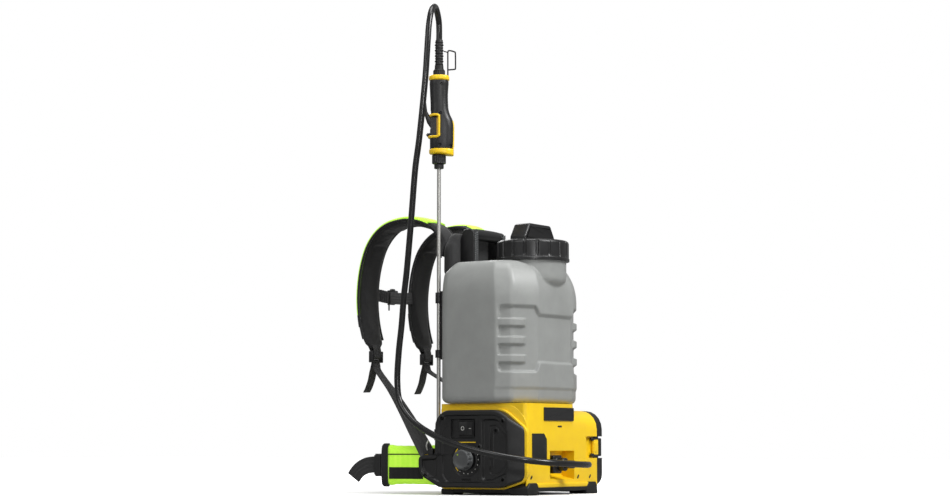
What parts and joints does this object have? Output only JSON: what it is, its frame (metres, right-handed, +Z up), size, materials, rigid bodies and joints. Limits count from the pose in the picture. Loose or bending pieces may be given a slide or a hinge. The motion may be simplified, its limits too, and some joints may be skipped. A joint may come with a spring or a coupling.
{
  "type": "backpack sprayer",
  "caption": "Battery backpack sprayer: a capped tank on a pump base, a padded harness, and a spray wand on a hose.",
  "frame": {"origin": "middle of the object's footprint, on the floor, measured without the hose", "axes": "+Z up, -X towards the control panel, -Y towards the hose outlet, +Y towards the wearer"},
  "size_m": [0.3866, 0.5111, 0.99],
  "materials": {
    "tank": "satin moulded polyethylene",
    "yellow": "satin moulded",
    "black": "textured moulded",
    "knob": "satin moulded",
    "rubber": "matte",
    "steel": "brushed",
    "brass": "turned",
    "lime": "woven",
    "mesh": "spacer mesh",
    "webbing": "woven webbing",
    "board": "lacquered board"
  },
  "bodies": {
    "root": {"back_frame": "black", "back_pad": "mesh", "badge_plate": "black", "base_housing": "yellow", "battery_pack": "black", "battery_terminal": "black", "belt_adjuster_far": "black", "belt_adjuster_near": "black", "belt_wing_far": "lime", "belt_wing_near": "lime", "bottom_plate": "black", "carry_handle": "black", "chest_buckle": "black", "chest_strap": "webbing", "circuit_board": "board", "control_panel": "black", "delivery_tube": "rubber", "dial_sensor": "knob", "door_hinge_pin": "steel", "foot_far": "rubber", "foot_near": "rubber", "hose": "rubber", "hose_nut": "black", "lower_webbing_far": "webbing", "lower_webbing_near": "webbing", "outlet_elbow": "black", "pump_head": "black", "pump_motor": "steel", "shoulder_strap_far": "mesh", "shoulder_strap_near": "mesh", "strainer_basket": "black", "strap_adjuster_far": "black", "strap_adjuster_near": "black", "strap_yoke": "mesh", "suction_tube": "black", "switch_bezel": "black", "tank": "tank", "wand_clip": "black", "wand_cradle": "black"},
    "seal": {"cap_seal": "rubber"},
    "cap": {"cap": "black"},
    "rocker": {"switch_rocker": "black"},
    "dial": {"dial_knob": "knob"},
    "door": {"battery_door": "black"},
    "latch": {"latch_lever": "yellow", "latch_hook": "black"},
    "wand": {"lance": "steel", "handle_collar": "yellow", "handle_left": "black", "handle_right": "black", "wand_valve": "brass", "handle_band": "yellow", "strain_relief": "rubber", "trigger_guard": "yellow"},
    "nozzle": {"nozzle_tip": "brass"},
    "nut": {"wand_nut": "black"},
    "trigger": {"trigger": "black"},
    "trigger_lock": {"trigger_lock": "black"},
    "hook": {"wire_hook": "steel"}
  },
  "joints": [
    {"name": "cap_lift", "type": "slide", "parent": "root", "child": "seal", "axis": [0, 0, 1], "range_m": [0, 0.024]},
    {"name": "cap_turn", "type": "hinge", "parent": "seal", "child": "cap", "pos_m": [-0.00865, -0.14205, 0.4676], "axis": [0, 0, 1], "range_deg": [0, 721]},
    {"name": "switch_rock", "type": "hinge", "parent": "root", "child": "rocker", "pos_m": [-0.13715, -0.07005, 0.131], "axis": [0, 0, 1], "range_deg": [-12, 0]},
    {"name": "dial_turn", "type": "hinge", "parent": "root", "child": "dial", "pos_m": [-0.14995, -0.07105, 0.0695], "axis": [1, 0, 0], "range_deg": [0, 270]},
    {"name": "door_swing", "type": "hinge", "parent": "root", "child": "door", "pos_m": [0.1385, 0.01145, 0.0443], "axis": [0, 0, 1], "range_deg": [0, 110]},
    {"name": "latch_swing", "type": "hinge", "parent": "door", "child": "latch", "pos_m": [0.15715, -0.19735, 0.094], "axis": [0, 0, 1], "range_deg": [0, 30]},
    {"name": "wand_lift", "type": "slide", "parent": "root", "child": "wand", "axis": [0, 0, 1], "range_m": [0, 0.1], "deforming": ["hose"]},
    {"name": "nozzle_turn", "type": "hinge", "parent": "wand", "child": "nozzle", "pos_m": [-0.11665, 0.01495, 0.129], "axis": [0, 0, 1], "range_deg": [-180, 180]},
    {"name": "nut_turn", "type": "hinge", "parent": "wand", "child": "nut", "pos_m": [-0.11665, 0.01495, 0.673], "axis": [0, 0, 1], "range_deg": [-180, 180]},
    {"name": "trigger_squeeze", "type": "hinge", "parent": "wand", "child": "trigger", "pos_m": [-0.124, 0.02627, 0.7488], "axis": [0.8387, 0.5446, 0], "range_deg": [0, 5], "stiffness_Nm_per_rad": 1.5, "springref_deg": -2.86},
    {"name": "lock_turn", "type": "hinge", "parent": "wand", "child": "trigger_lock", "pos_m": [-0.12689, 0.03072, 0.7278], "axis": [-0.5446, 0.8387, 0], "range_deg": [0, 90]},
    {"name": "hook_swing", "type": "hinge", "parent": "wand", "child": "hook", "pos_m": [-0.10696, 0.00002, 0.8499], "axis": [0, 0, 1], "range_deg": [-60, 60]}
  ],
  "couplings": [
    {"joint": "cap_turn", "follows": "cap_lift", "rad_per_m": 523.6}
  ]
}
